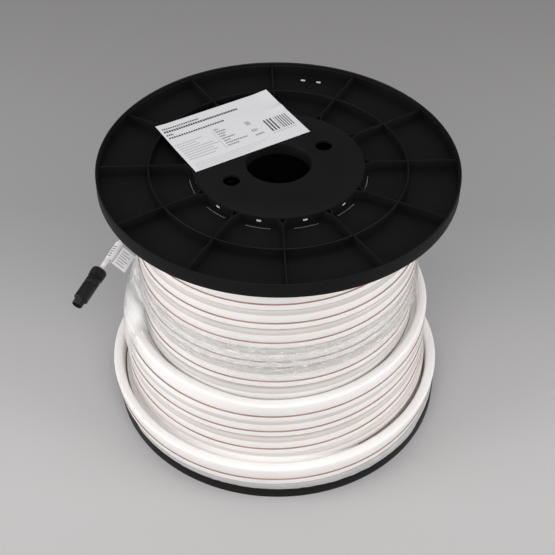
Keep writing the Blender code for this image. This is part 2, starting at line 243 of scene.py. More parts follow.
def surface_material(name, dark, light, roughness, scale, grain_scale, grain_depth,
                     stretch=(1.0, 1.0, 1.0), **sockets):
    """A moulded or extruded surface: mottled colour, uneven gloss and a fine grain.

    The scale is that of the mottling, from the dark colour to the light one.
    """
    surface = Surface(name, roughness, **sockets)
    place = surface.add("TexCoord", "Object")
    large = surface.noise(place, scale, 4.0, stretch)
    surface.feed("Base Color", surface.ramp(large, [(0.3, dark), (0.7, light)]))
    surface.feed("Roughness", surface.spread(
        large, roughness - GLOSS_SPREAD, roughness + GLOSS_SPREAD))
    surface.bump(surface.noise(place, grain_scale, 2.0, stretch), grain_depth)
    return surface.material


BLACK = surface_material(
    "black_moulded_plastic", (0.0056, 0.0052, 0.0056), (0.0072, 0.0068, 0.0072), 0.45,
    18.0, 900.0, 0.00004, Specular_IOR_Level=0.10)
SILICONE = surface_material(
    "white_silicone", (0.84, 0.812, 0.795), (0.88, 0.855, 0.838), 0.45,
    14.0, 500.0, 0.00003, Subsurface_Weight=0.25, Subsurface_Radius=(1.0, 0.85, 0.7),
    Subsurface_Scale=0.005)
GROOVE = surface_material(
    "groove_shadow", (0.36, 0.22, 0.16), (0.48, 0.33, 0.26), 0.7, 25.0, 500.0, 0.00003)
# the strip's silicone darkened with painted shade, for domes under the turn above
SHADED_DOME = surface_material(
    "dome_painted_shade", (0.575, 0.535, 0.505), (0.625, 0.585, 0.555), 0.5, 14.0, 500.0, 0.00003)
FOAM = surface_material(
    "packing_foam", (0.42, 0.405, 0.40), (0.50, 0.485, 0.48), 0.85,
    60.0, 1500.0, 0.0002, stretch=(1.0, 1.0, 2.0))
CABLE = surface_material(
    "white_cable", (0.76, 0.745, 0.73), (0.82, 0.805, 0.79), 0.42, 40.0, 900.0, 0.00003)
RUBBER = surface_material(
    "black_plug_plastic", (0.006, 0.0055, 0.006), (0.009, 0.0085, 0.009), 0.42,
    90.0, 2500.0, 0.00006, Specular_IOR_Level=0.25)
CLIP = surface_material(
    "light_drum_plastic", (0.55, 0.54, 0.53), (0.68, 0.67, 0.66), 0.5, 60.0, 900.0, 0.00003)
# the light drum plastic darkened with painted shade, for the tabs down in the hub slits
SHADED_SLIT_LINING = surface_material(
    "slit_lining_painted_shade", (0.14, 0.137, 0.134), (0.25, 0.245, 0.24), 0.5, 60.0, 900.0, 0.00003)


# Mesh helpers
SHARP_ANGLE = 32.0
ARC_STEPS = 12


def grid_faces(count, width, loop_rows, loop_columns, first=0):
    """Quads between rows of points, as indices."""
    faces = []
    for row in range(count if loop_rows else count - 1):
        after = (row + 1) % count
        for column in range(width if loop_columns else width - 1):
            beside = (column + 1) % width
            faces.append((
                first + row * width + column, first + after * width + column,
                first + after * width + beside, first + row * width + beside))
    return faces


class Shape:
    """Vertices, faces and each face's material, gathered for one piece."""

    def __init__(self):
        self.vertices = []
        self.faces = []
        self.slots = []

    def grid(self, rows, loop_rows=False, loop_columns=True, caps=False, slots=None):
        first = len(self.vertices)
        width = len(rows[0])
        for row in rows:
            self.vertices += [tuple(point) for point in row]
        faces = grid_faces(len(rows), width, loop_rows, loop_columns, first)
        self.faces += faces
        pattern = slots or [0]
        self.slots += [pattern[index % len(pattern)] for index in range(len(faces))]
        if caps:
            last = first + (len(rows) - 1) * width
            self.faces.append(tuple(range(first, first + width)))
            self.faces.append(tuple(reversed(range(last, last + width))))
            self.slots += [0, 0]

    def turned(self, profile, steps):
        """A closed (radius, height) profile turned round Z into a ring."""
        self.grid([
            [around(radius, math.tau * step / steps, height) for radius, height in profile]
            for step in range(steps)], loop_rows=True)

    def arc(self, middle, half_angle, section, matrix=Matrix.Identity(4), slots=None):
        """A (radius, height) section carried along an arc round the matrix's Z."""
        rows = []
        for step in range(ARC_STEPS + 1):
            azimuth = middle + half_angle * (2 * step / ARC_STEPS - 1)
            rows.append([matrix @ around(radius, azimuth, height) for radius, height in section])
        self.grid(rows, caps=True, slots=slots)

    def block(self, size, matrix, soften=0.0):
        """A box placed by a matrix, with softened edges at its top."""
        x, y, z = (value / 2 for value in size)
        cut = min(soften, x * 0.8, y * 0.8, z * 0.8)
        outline = [(-x, -y), (x, -y), (x, y), (-x, y)]
        levels = [(-z, 0.0), (z, 0.0)]
        if cut > 0:
            levels = [(-z, 0.0), (z - cut, 0.0), (z - cut * 0.3, cut * 0.3), (z, cut)]
        rows = []
        for level, inset in levels:
            rows.append([
                matrix @ Vector((
                    px - math.copysign(inset, px), py - math.copysign(inset, py), level))
                for px, py in outline])
        self.grid(rows, caps=True)

    def mesh(self, name, materials, sharp=SHARP_ANGLE, recalculate=True):
        mesh = bpy.data.meshes.new(name)
        mesh.from_pydata(self.vertices, [], self.faces)
        for material in materials:
            mesh.materials.append(material)
        mesh.polygons.foreach_set("material_index", self.slots)
        if recalculate:
            work = bmesh.new()
            work.from_mesh(mesh)
            bmesh.ops.recalc_face_normals(work, faces=work.faces[:])
            work.to_mesh(mesh)
            work.free()
        smooth(mesh, sharp)
        return mesh

    def piece(self, name, materials, replaces=(), sharp=SHARP_ANGLE):
        place_piece(name, self.mesh(name, materials, sharp), replaces)


def smooth(mesh, sharp=SHARP_ANGLE):
    mesh.polygons.foreach_set("use_smooth", [True] * len(mesh.polygons))
    mesh.set_sharp_from_angle(angle=math.radians(sharp))
    mesh.update()


def place_piece(name, data, replaces=()):
    """Link a new piece of the reel, ride it and hide the nodes that it replaces."""
    obj = linked(name, data)
    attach(obj, "root")
    if replaces:
        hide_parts(*replaces)
    return obj


def cut_out(mesh, cutter, name):
    """The mesh with the cutter's shapes cut out of it."""
    body = linked(name + "_body", mesh)
    tool = linked(name + "_tool", cutter)
    modifier = body.modifiers.new("cut", "BOOLEAN")
    modifier.operation = "DIFFERENCE"
    modifier.solver = "EXACT"
    modifier.object = tool
    view = bpy.context.evaluated_depsgraph_get()
    view.update()
    made = bpy.data.meshes.new_from_object(body.evaluated_get(view))
    bpy.data.objects.remove(body)
    bpy.data.objects.remove(tool)
    return made


# Feed lead, plug and label
def smooth_route(points, step):
    """Points at an even step along a smooth curve through the given points, and its length."""
    substeps = 20
    ends = [2 * points[0] - points[1]] + points + [2 * points[-1] - points[-2]]
    fine = []
    for index in range(1, len(ends) - 2):
        before, first, second, after = ends[index - 1:index + 3]
        for part in range(substeps):
            t = part / substeps
            fine.append(0.5 * (2 * first + (second - before) * t
                               + (2 * before - 5 * first + 4 * second - after) * t ** 2
                               + (3 * first - before - 3 * second + after) * t ** 3))
    fine.append(points[-1])
    travelled = [0.0]
    for first, second in zip(fine, fine[1:]):
        travelled.append(travelled[-1] + (second - first).length)
    count = max(2, round(travelled[-1] / step))
    route = []
    place = 0
    for index in range(count + 1):
        goal = travelled[-1] * index / count
        while place < len(fine) - 2 and travelled[place + 1] < goal:
            place += 1
        share = (goal - travelled[place]) / (travelled[place + 1] - travelled[place])
        route.append(fine[place].lerp(fine[place + 1], share))
    return route, travelled[-1]


CAP_START = TAIL_END + CLEARANCE / TAIL_END_RADIUS
CAP_END = CAP_START + CAP_LENGTH / TAIL_END_RADIUS
LEAD_HEADING = around(1.0, CAP_END + math.pi / 2)
LEAD_EXIT = (around(TAIL_END_RADIUS, CAP_END, TAIL_END_BASE + STRIP_HEIGHT / 2)
             + LEAD_HEADING * CLEARANCE)
LEAD_PLACES = [Vector(point) for point in LEAD_ROUTE]
LEAD_END = LEAD_PLACES.pop()
LEAD_POINTS = ([LEAD_EXIT, LEAD_EXIT + LEAD_HEADING * LEAD_STEP] + LEAD_PLACES
               + [LEAD_END - PLUG_DIRECTION * LEAD_STEP, LEAD_END])
# the CAD's own route places the label; the finer one is the cord that is seen
COARSE_ROUTE = smooth_route(LEAD_POINTS, LEAD_STEP)[0]
LEAD_LINE, LEAD_LENGTH = smooth_route(LEAD_POINTS, 0.005)


def make_lead():
    curve = bpy.data.curves.new("feed_lead", "CURVE")
    curve.dimensions = "3D"
    curve.bevel_depth = LEAD_RADIUS
    curve.bevel_resolution = 5
    curve.use_fill_caps = True
    spline = curve.splines.new("POLY")
    spline.points.add(len(LEAD_LINE) - 1)
    for point, place in zip(spline.points, LEAD_LINE):
        point.co = (*place, 1.0)
    curve.materials.append(CABLE)
    return place_piece("feed_lead", curve, ("lead_cord",))


lead = make_lead()


def along(start, direction):
    """A matrix whose Z runs in a direction from a start point."""
    return Matrix.Translation(start) @ direction.to_track_quat("Z", "Y").to_matrix().to_4x4()


def turned_along(shape, profile, steps, matrix, ribs=0, rib_height=0.0, rib_span=(0.0, 0.0)):
    """An open (radius, distance) profile turned round an axis, with grip ribs over a span."""
    rows = []
    for step in range(steps):
        azimuth = math.tau * step / steps
        row = []
        for radius, distance in profile:
            reach = radius
            if ribs and rib_span[0] <= distance <= rib_span[1]:
                wave = 0.5 + 0.5 * math.cos(ribs * azimuth)
                reach -= rib_height * (1.0 - wave ** 0.5)
            row.append(matrix @ around(reach, azimuth, distance))
        rows.append(row)
    shape.grid(rows, loop_rows=True, loop_columns=False)


def make_plug():
    start = LEAD_END + PLUG_DIRECTION * CLEARANCE
    nut = Shape()
    r, n = NUT_RADIUS, NUT_LENGTH
    profile = [
        (LEAD_RADIUS + 0.0002, 0.0022), (LEAD_RADIUS + 0.0004, 0.0006), (0.0046, 0.0),
        (0.0066, 0.0), (r - 0.0012, 0.0006), (r - 0.0003, 0.0018), (r, 0.0030),
        (r, 0.0034), (r, 0.0062), (r, 0.0090), (r, 0.0094), (r - 0.0003, 0.0098),
        (r - 0.0011, 0.0101), (r - 0.0011, 0.0109), (r - 0.0003, 0.0112),
        (r - 0.0002, n - 0.0003), (r - 0.0006, n), (0.0, n)]
    turned_along(nut, profile, 120, along(start, PLUG_DIRECTION), 12, 0.0009, (0.0031, 0.0093))
    nut.piece("plug_cable_nut", [RUBBER], ("plug_nut",), 40.0)
    body = Shape()
    r, n, tip = PLUG_RADIUS, PLUG_LENGTH, PLUG_TIP_RADIUS
    end = PLUG_LENGTH + PLUG_TIP_LENGTH
    profile = [
        (0.0, 0.0), (r - 0.0011, 0.0), (r - 0.0007, 0.0004), (r - 0.0007, 0.0020),
        (r - 0.0001, 0.0026), (r, 0.0030), (r, 0.0088), (r - 0.0002, 0.0092),
        (r - 0.0009, 0.0096), (r - 0.0009, 0.0104), (r - 0.0002, 0.0108), (r, 0.0112),
        (r, 0.0200), (r, n - 0.0040), (r, n - 0.0010), (r - 0.0008, n - 0.0001),
        (tip + 0.0002, n), (tip, n + 0.0003), (tip, end - 0.0008), (tip - 0.0006, end),
        (tip - 0.0011, end), (tip - 0.0013, end - 0.0005), (tip - 0.0013, end - 0.0060),
        (0.0, end - 0.0060)]
    place = start + PLUG_DIRECTION * (NUT_LENGTH + CLEARANCE)
    frame_at = along(place, PLUG_DIRECTION)
    turned_along(body, profile, 96, frame_at)
    # raised grip bars along the body, let into it and flush with its outer size
    for index in range(10):
        bar = frame_at @ at(math.tau * index / 10, r - 0.0009, 0.0215)
        body.block((0.0014, 0.0016, 0.0170), bar, 0.0003)
    # two contact pins inside the tip
    for side in (-0.0022, 0.0022):
        pin = frame_at @ Matrix.Translation((side, 0.0, end - 0.0040))
        body.block((0.0013, 0.0013, 0.0045), pin, 0.0003)
    body.piece("plug_housing", [RUBBER], ("plug_body",), 40.0)


make_plug()


def label_frame():
    """Middle, direction and side of the label on the lead, as the CAD has them."""
    travelled = 0.0
    index = len(COARSE_ROUTE) - 1
    while travelled < LABEL_FROM_PLUG:
        travelled += (COARSE_ROUTE[index] - COARSE_ROUTE[index - 1]).length
        index -= 1
    middle = (COARSE_ROUTE[index] + COARSE_ROUTE[index + 1]) / 2
    direction = (COARSE_ROUTE[index + 1] - COARSE_ROUTE[index]).normalized()
    side = (TAG_SIDE - direction * TAG_SIDE.dot(direction)).normalized()
    return middle, direction, side


def bars_material(name, bars, ink, paper):
    """Paper printed with plain dashes and bars, which stand in for any print.

    bars: (left, right, bottom, top, dash length, share of dash inked, ink strength) in shares
    of the sheet's UV square.
    """
    surface = Surface(name, 0.55)
    calculate = surface.calculate
    across = surface.add("SeparateXYZ", "X", Vector=surface.add("UVMap", "UV"))
    upward = across.node.outputs["Y"]

    def inside(value, low, high):
        return calculate("MULTIPLY", calculate("GREATER_THAN", value, low),
                         calculate("LESS_THAN", value, high))

    total = None
    for left, right, bottom, top, dash, inked, strength in bars:
        mask = calculate("MULTIPLY", inside(across, left, right), inside(upward, bottom, top))
        if dash > 0:
            wave = calculate("MODULO", across, dash)
            mask = calculate("MULTIPLY", mask, calculate("LESS_THAN", wave, dash * inked))
        mask = calculate("MULTIPLY", mask, strength)
        total = mask if total is None else calculate("ADD", total, mask, True)
    fibre = surface.noise(surface.add("TexCoord", "Object"), 300.0, 3.0)
    sheet = surface.ramp(fibre, [(0.25, tuple(c * 0.97 for c in paper)), (0.75, paper)])
    surface.feed("Base Color", surface.mix(total, sheet, ink))
    surface.bump(fibre, 0.00004)
    return surface.material


def paper_piece(name, material, across, along_count, place, thickness, node):
    """A thin sheet: place(u, v) gives its middle point and normal; its UV is (u, v)."""
    mesh = bpy.data.meshes.new(name)
    vertices, uvs = [], []
    for side in (0.5, -0.5):
        for row in range(along_count + 1):
            for column in range(across + 1):
                u, v = column / across, row / along_count
                point, normal = place(u, v)
                vertices.append(point + normal * thickness * side)
                uvs.append((u, v))
    width = across + 1
    sheet = width * (along_count + 1)
    faces = []
    for row in range(along_count):
        for column in range(across):
            a = row * width + column
            b, c, d = a + 1, a + width + 1, a + width
            faces.append((a, b, c, d))
            faces.append((sheet + a, sheet + d, sheet + c, sheet + b))
    rim = (list(range(width))
           + [row * width + across for row in range(1, along_count + 1)]
           + [along_count * width + column for column in reversed(range(across))]
           + [row * width for row in reversed(range(1, along_count))])
    for a, b in zip(rim, rim[1:] + rim[:1]):
        faces.append((a, a + sheet, b + sheet, b))
    mesh.from_pydata(vertices, [], faces)
    layer = mesh.uv_layers.new(name="UVMap")
    for loop in mesh.loops:
        layer.data[loop.index].uv = uvs[loop.vertex_index]
    mesh.materials.append(material)
    smooth(mesh, 40.0)
    place_piece(name, mesh, (node,))


def make_label():
    """The paper sleeve on the lead and the flag on its side, with plain dashes."""
    middle, direction, side = label_frame()
    normal = direction.cross(side)
    ink = (0.10, 0.09, 0.095)
    strokes = [(0.12 + 0.135 * index, 0.175 + 0.135 * index, 0.30, 0.44, 0.0, 1.0, 0.85)
               for index in range(5)]
    sleeve_paper = bars_material("label_paper", strokes, ink, (0.88, 0.88, 0.89))

    def sleeve(u, v):
        angle = math.tau * v
        out = side * math.cos(angle) + normal * math.sin(angle)
        point = middle + direction * LABEL_LENGTH * (0.5 - u) + out * LABEL_RADIUS * 0.97
        return point, out

    paper_piece("lead_label_sleeve", sleeve_paper, 12, 40, sleeve, 0.0004, "lead_label")
    rows = []
    for index, reach in enumerate((0.80, 0.70, 0.84, 0.66, 0.80, 0.62)):
        left = 0.13 + 0.135 * index
        rows.append((left, left + 0.052, 0.18, reach, 0.0, 1.0, 0.60))
    rows.append((0.04, 0.96, 0.0, 0.055, 0.05, 0.6, 0.95))
    flag_paper = bars_material("flag_paper", rows, ink, (0.97, 0.96, 0.97))

    def flag(u, v):
        wave = 0.0005 * math.sin(math.pi * u) * math.sin(math.pi * v)
        away = LABEL_RADIUS + CLEARANCE + TAG_WIDTH * v
        point = middle + direction * LABEL_LENGTH * (0.5 - u) + side * away + normal * wave
        return point, normal

    paper_piece("lead_label_flag", flag_paper, 14, 12, flag, 0.0003, "lead_tag")


make_label()


# Flanges
FLANGE_STEPS = 192
PANEL_MIDDLES = [RIB_AZIMUTH + math.tau * (index + 0.5) / RIB_COUNT for index in range(RIB_COUNT)]
WEB_MIDDLE = -(WEB_FACE + WEB_THICKNESS / 2)
SLIT_RADII = (0.0982, 0.0997)
SLIT_REACH = math.radians(8.2)
LINING_RADII = (0.0983, 0.0988)
LINING_REACH = math.radians(7.9)
WINDOW_LEVEL = -0.0090
# where the moulding, drawn with its outer face up at height 0, lies in the reel
UPPER_PLACE = Matrix.Translation((0.0, 0.0, REEL_HEIGHT))
LOWER_PLACE = Matrix.Rotation(2 * HOLE_AZIMUTH, 4, "Z") @ Matrix.Rotation(math.pi, 4, "X")


def flange_profile():
    """Section of the flange, outer face up, its edges softened and an inner ledge on the rim."""
    edge, hub, ring, bore = FLANGE_RADIUS, HUB_RADIUS, RING_RIB_RADIUS, ARBOR_RADIUS
    foot, face, crest, web = -RIM_HEIGHT, -HUB_RECESS, -RIB_RECESS, -WEB_FACE
    hub_in, collar_out, rim_in = hub - HUB_WALL, bore + COLLAR_WALL, edge - RIM_WALL
    under = face - WEB_THICKNESS
    rib = 0.0009
    return [
        (edge - 0.0011, 0.0), (edge - 0.0004, -0.0003), (edge, -0.0011), (edge, foot + 0.0008),
        (edge - 0.0006, foot), (hub_in, foot), (hub_in, under), (collar_out, under),
        (collar_out, foot), (bore, foot), (bore, face - 0.0012), (bore + 0.0005, face - 0.0003),
        (bore + 0.0014, face), (hub - 0.0009, face), (hub - 0.0002, face - 0.0003),
        (hub, face - 0.0010), (hub, web), (ring - rib, web), (ring - rib, crest - 0.0005),
        (ring - 0.4 * rib, crest), (ring + 0.4 * rib, crest), (ring + rib, crest - 0.0005),
        (ring + rib, web), (rim_in, web), (rim_in, -0.0040), (rim_in + 0.0006, -0.0034),
        (rim_in + 0.0006, -0.0010), (rim_in + 0.0012, -0.0002), (rim_in + 0.0018, 0.0)]


def flange_cutter():
    """What is cut out of a flange: slits and windows at the hub, tie slots and drive holes."""
    tool = Shape()
    slit = box_section(SLIT_RADII, WEB_MIDDLE - 0.005, WEB_MIDDLE + 0.005)
    for middle in PANEL_MIDDLES:
        tool.arc(middle, SLIT_REACH, slit)
        tool.block((0.0070, 0.0057, 0.0034), at(middle, HUB_RADIUS - HUB_WALL / 2, WINDOW_LEVEL))
    for azimuth in TIE_SLOT_AZIMUTHS:
        tool.block((0.0040, 0.0060, 0.0100), at(azimuth, TIE_SLOT_RADIUS, WEB_MIDDLE))
    for turn in (0.0, math.pi):
        centre = around(DRIVE_HOLE_PITCH, HOLE_AZIMUTH + turn)
        tool.grid([
            [centre + around(DRIVE_HOLE_RADIUS, math.tau * step / 40, height)
             for step in range(40)]
            for height in (-0.012, 0.004)], caps=True)
    return tool.mesh("flange_cutter", [BLACK])


def rib_walls(shape):
    """The ribs, each forked where it meets the hub."""
    thickness = 0.0018
    height = -WEB_MIDDLE - RIB_RECESS
    level = (WEB_MIDDLE - RIB_RECESS) / 2
    outer = FLANGE_RADIUS - RIM_WALL / 2
    fork = 0.1045
    foot = HUB_RADIUS - HUB_WALL / 2
    for index in range(RIB_COUNT):
        turn = Matrix.Rotation(RIB_AZIMUTH + math.tau * index / RIB_COUNT, 4, "Z")
        middle = turn @ Matrix.Translation(((outer + fork) / 2, 0.0, level))
        shape.block((outer - fork, thickness, height), middle, 0.0004)
        for side in (-1, 1):
            start = Vector((fork + 0.0006, 0.0, level))
            end = Vector((foot, side * 0.0052, level))
            arm = end - start
            heading = math.atan2(arm.y, arm.x)
            place = turn @ Matrix.Translation((start + end) / 2) @ Matrix.Rotation(heading, 4, "Z")
            shape.block((arm.length, thickness * 0.8, height), place, 0.0003)


def moulding_marks(shape):
    """Faint raised marks of the mould's pins on the hub's face."""
    for reach, azimuth in ((0.0545, 4.0), (0.0620, -52.0), (0.0660, 62.0), (0.0600, -150.0)):
        centre = around(reach, math.radians(azimuth), -HUB_RECESS)
        rows = []
        for step in range(9):
            angle = math.radians(azimuth + 30 + 90 * step / 8)
            rows.append([centre + around(radius, angle, height)
                         for radius, height in box_section((0.0040, 0.0044), -0.0004, 0.00012)])
        shape.grid(rows, caps=True)


def make_flanges():
    body = Shape()
    body.turned(flange_profile(), FLANGE_STEPS)
    cut = cut_out(body.mesh("flange_body", [BLACK]), flange_cutter(), "flange")
    extras = Shape()
    rib_walls(extras)
    moulding_marks(extras)
    added = extras.mesh("flange_extras", [BLACK])
    work = bmesh.new()
    work.from_mesh(cut)
    work.from_mesh(added)
    whole = bpy.data.meshes.new("flange_moulding")
    work.to_mesh(whole)
    work.free()
    whole.materials.clear()
    whole.materials.append(BLACK)
    whole.polygons.foreach_set("material_index", [0] * len(whole.polygons))
    lower = whole.copy()
    whole.transform(UPPER_PLACE)
    lower.transform(LOWER_PLACE)
    smooth(whole)
    smooth(lower)
    place_piece("upper_flange", whole, ("flange_top",))
    place_piece("lower_flange", lower, ("flange_bottom",))


make_flanges()


def make_clips():
    """The drum's light tabs in the slits and windows at both hubs, and the ties' ends; the tabs in
    the slits take a colour with painted shade.
    """
    lining = box_section(LINING_RADII, -RIM_HEIGHT + 0.0004, -WEB_FACE - 0.0004)
    for name, place in (("upper_drum_tabs", UPPER_PLACE), ("lower_drum_tabs", LOWER_PLACE)):
        shape = Shape()
        for middle in PANEL_MIDDLES:
            # slot 1: the tab in the slit, in the colour with painted shade
            shape.arc(middle, LINING_REACH, lining, place, [1])
            shape.block((0.0022, 0.0050, 0.0025),
                        place @ at(middle, HUB_RADIUS - 0.0018, WINDOW_LEVEL))
        for azimuth in TIE_SLOT_AZIMUTHS:
            shape.block((0.0036, 0.0054, 0.0026),
                        place @ at(azimuth, TIE_SLOT_RADIUS, WEB_MIDDLE), 0.0004)
        shape.piece(name, [CLIP, SHADED_SLIT_LINING])


make_clips()


# Drum and packing disc
DRUM_WALL = 0.003


def make_drum():
    shape = Shape()
    shape.turned(box_section(
        (HUB_RADIUS - DRUM_WALL, HUB_RADIUS), DISC_BASE, REEL_HEIGHT - DISC_BASE), 96)
    shape.piece("drum_tube", [BLACK], ("drum_core",))


def make_disc():
    """The foam ring under the turns; its edge droops over the flange's rim at the front."""
    disc = Shape()
    rows = []
    for step in range(240):
        azimuth = math.tau * step / 240
        rough = 0.0003 * noise.noise(Vector((40 * math.cos(azimuth), 40 * math.sin(azimuth), 0)))
        front = ease(1.6 * max(0.0, -math.sin(azimuth)) - 0.6)
        edge = FLANGE_RADIUS - 0.0012 + 0.0022 * ease(front * 3.0) + rough
        droop = DISC_BASE - (0.0012 + 2 * rough) * ease(front * 2.0 - 1.0)
        inner = edge - 0.0002 - 0.0006 * ease(front * 3.0)
        rows.append([around(radius, azimuth, height) for radius, height in (
            (WINDING_BORE, DISC_TOP), (edge - 0.0020, DISC_TOP),
            (edge - 0.0006, DISC_TOP - 0.0006), (edge, DISC_TOP - 0.0018),
            (edge, droop + 0.0012), (edge - 0.0002, droop), (inner, droop),
            (inner - 0.0001, DISC_BASE), (WINDING_BORE, DISC_BASE))])
    disc.grid(rows, loop_rows=True)
    disc.piece("packing_ring", [FOAM], ("packing_disc",))


make_drum()
make_disc()


# The strip: its section swept along the turns
# 1 would make the crown a half circle; a lower power flattens it
CROWN_POWER = 0.56


def strip_section():
    """Section as (outward, up) points, and each side's material: body, groove or dome, the dome's
    colour darkened with painted shade.
    """
    half = DOME_RADIUS
    right = [
        (half - 0.0006, 0.0), (half - 0.0001, 0.0002), (half, 0.0006), (half, 0.0040),
        (half, 0.0072), (half - 0.0016, 0.0073), (half - 0.0016, 0.0085), (half - 0.0009, 0.0086),
        (half - 0.0004, 0.0112), (half, 0.0145)]
    crown = STRIP_HEIGHT - half
    dome = []
    for step in range(13):
        angle = math.pi * step / 12
        out, up = math.cos(angle), math.sin(angle)
        dome.append((half * math.copysign(abs(out) ** CROWN_POWER, out),
                     crown + half * abs(up) ** CROWN_POWER))
    left = [(-out, up) for out, up in reversed(right)]
    points = right + dome + left
    count = len(points)
    slots = [0] * count
    for index in (4, 5, 6):
        slots[index] = 1
        slots[count - 2 - index] = 1
    # the dome's faces take the colour with painted shade
    for index in range(len(right), len(right) + len(dome) - 1):
        slots[index] = 2
    return points, slots


SECTION, SECTION_SLOTS = strip_section()
# the same slots with the dome's painted shade left off, for turns with nothing over them
UNSHADED_SLOTS = [0 if slot == 2 else slot for slot in SECTION_SLOTS]
STRIP_MATERIALS = [SILICONE, GROOVE, SHADED_DOME]


def section_at(angle, radius, base, offset, lean):
    azimuth = math.radians(angle)
    return [
        around(radius + out - lean * up / STRIP_HEIGHT, azimuth, base + up)
        + Vector((offset, 0.0, 0.0)) for out, up in SECTION]


def sweep(shape, path, first, last, per_turn, unshaded_from=math.inf):
    """The strip from one angle to another.

    path(angle) gives the radius, the base's height, the offset in x and how far the top leans in.
    Before the unshaded angle the dome is darkened with painted shade; from it on, nothing lies
    over the dome and it takes the body's colour.
    """
    count = max(2, round((last - first) / 360.0 * per_turn))
    rows = []
    slots = []
    for step in range(count + 1):
        angle = first + (last - first) * step / count
        rows.append(section_at(angle, *path(angle)))
        slots += UNSHADED_SLOTS if angle >= unshaded_from else SECTION_SLOTS
    shape.grid(rows, caps=True, slots=slots)


def between(values, position):
    """A value read off a list at a position between its places."""
    index = min(max(int(math.floor(position)), 0), len(values) - 2)
    share = position - index
    return values[index] + (values[index + 1] - values[index]) * share


# height of each turn's base at the front, measured in the photograph for the upper ones
WINDING_BASE = 0.0256
WINDING_BASES = (WINDING_BASE, 0.0562, 0.0868, 0.1178, 0.1500, 0.1816, 0.2106, 0.2402, 0.2682,
                 0.2962)
# the side that the photograph is taken from, in degrees
FRONT = 270.0
TOP_TURN = FRONT + 360.0 * (len(WINDING_BASES) - 1)
# height from turn to turn in the layers beneath
CORE_PITCH = 0.030067


def winding_path(angle):
    base = between(WINDING_BASES, (angle - FRONT) / 360.0)
    base = min(max(base, WINDING_BASE), WINDING_TOP - STRIP_HEIGHT)
    wobble = 0.00025 * math.sin(math.radians(angle) * 2.3 + 0.7)
    inward = STRIP_THICKNESS * ease((angle - TOP_TURN) / 24.0)
    return WINDING_RADIUS - DOME_RADIUS + wobble - 0.0003 - inward, base, 0.0, 0.0


def make_winding():
    shape = Shape()
    sweep(shape, winding_path, FRONT, TOP_TURN + 40.0, 108)
    # the layers beneath, as one turned core with a dome for each layer at its top
    profile = [(WINDING_BORE, WINDING_BASE)]
    outer = WINDING_RADIUS - STRIP_THICKNESS - 0.0006
    crown = WINDING_TOP - 0.0002
    for index in range(len(WINDING_BASES)):
        base = WINDING_BASE + index * CORE_PITCH
        profile += [
            (outer - 0.0004, base), (outer, base + 0.0006), (outer, base + 0.0072),
            (outer - 0.0008, base + 0.0074), (outer - 0.0008, base + 0.0080),
            (outer, base + 0.0082), (outer, base + 0.0200),
            (outer - 0.0018, base + 0.0242), (outer - DOME_RADIUS, base + STRIP_HEIGHT)]
    for layer in range(1, 4):
        top = outer - DOME_RADIUS - STRIP_THICKNESS * layer
        profile += [(top + DOME_RADIUS, crown - 0.005), (top + 0.0042, crown - 0.0018),
                    (top, crown), (top - 0.0042, crown - 0.0018)]
    profile.append((WINDING_BORE, crown - 0.005))
    shape.turned(profile, 120)
    shape.piece("wound_layers", STRIP_MATERIALS, ("neon_winding",))


# height of each outer turn's base at the front, before FRONT_DROP lowers it there
OUTER_BASES = (0.0318, 0.0595, 0.0902, 0.1163, 0.1442)
OUTER_START = 176.0
RING_FRONT = FRONT + 3 * 360.0
RING_START = RING_FRONT - 180.0
TAIL_FROM = RING_FRONT + 100.0
TAIL_TO = 360.0 * 4 + 120.0
OUTER_WIDE = 0.1832 - DOME_RADIUS
OUTER_DEEP = 0.1762 - DOME_RADIUS
OUTER_OFFSET = -0.0028
FRONT_DROP = 0.0088
BULGE = 0.0045
RING_LEAN = 0.0048
SLACK_HEIGHT = 0.0165
LAST_WIDE = 0.2032 - DOME_RADIUS
LAST_DEEP = 0.2008 - DOME_RADIUS
LAST_LEAN = 0.0040


def squashed(azimuth, wide, deep):
    """Radius of an ellipse wide in x and deep in y."""
    return wide * deep / math.hypot(deep * math.cos(azimuth), wide * math.sin(azimuth))


def outer_path(angle):
    azimuth = math.radians(angle)
    position = (angle - FRONT) / 360.0
    base = between(OUTER_BASES, position) if position >= 0 else (
        OUTER_BASES[0]
        + position * (OUTER_BASES[0] - WINDING_BASE) * 360.0 / (FRONT - OUTER_START))
    # the turns are pulled in at the front, and lie a little lower there
    base -= FRONT_DROP * max(0.0, -math.sin(azimuth)) ** 2
    radius = squashed(azimuth, OUTER_WIDE, OUTER_DEEP)
    # the lowest one bulges at the front right, out to the last turn
    bulge = BULGE * window(angle, 272.0, 318.0, 380.0, 440.0)
    radius += bulge
    base += bulge * max(0.0, -math.sin(azimuth))
    tail = ease((angle - (RING_FRONT + 90.0)) / (TAIL_TO - RING_FRONT - 90.0))
    radius += (TAIL_END_RADIUS - radius) * tail
    offset = OUTER_OFFSET * (1 - tail)
    climb = ease((angle - TAIL_FROM) / (TAIL_TO - TAIL_FROM))
    base += (TAIL_END_BASE - base) * climb
    wobble = 0.0003 * math.sin(azimuth * 1.7) * (1 - tail)
    # the top turn leans in at the front left, where the film pulls it to the winding
    lean = RING_LEAN * window(angle - RING_START, 98.0, 113.0, 145.0, 178.0)
    return radius + wobble, max(base, WINDING_BASE), offset, lean * (1 - tail)


def last_path(angle):
    azimuth = math.radians(angle)
    rise = 0.0006 * (1 + math.cos(azimuth))
    # it leans out at both sides
    lean = -LAST_LEAN * math.cos(azimuth) ** 2
    reach = squashed(azimuth, LAST_WIDE, LAST_DEEP) + lean
    return reach, DISC_TOP + CLEARANCE + rise, OUTER_OFFSET, lean


def slack_row(angle, inner, radius, base, top):
    """Section of the strip that fills the space behind a loose turn, seen only down the gap."""
    section = box_section((inner, radius - 0.0030), base + 0.0010, top)
    return [around(out, math.radians(angle), height) for out, height in section]


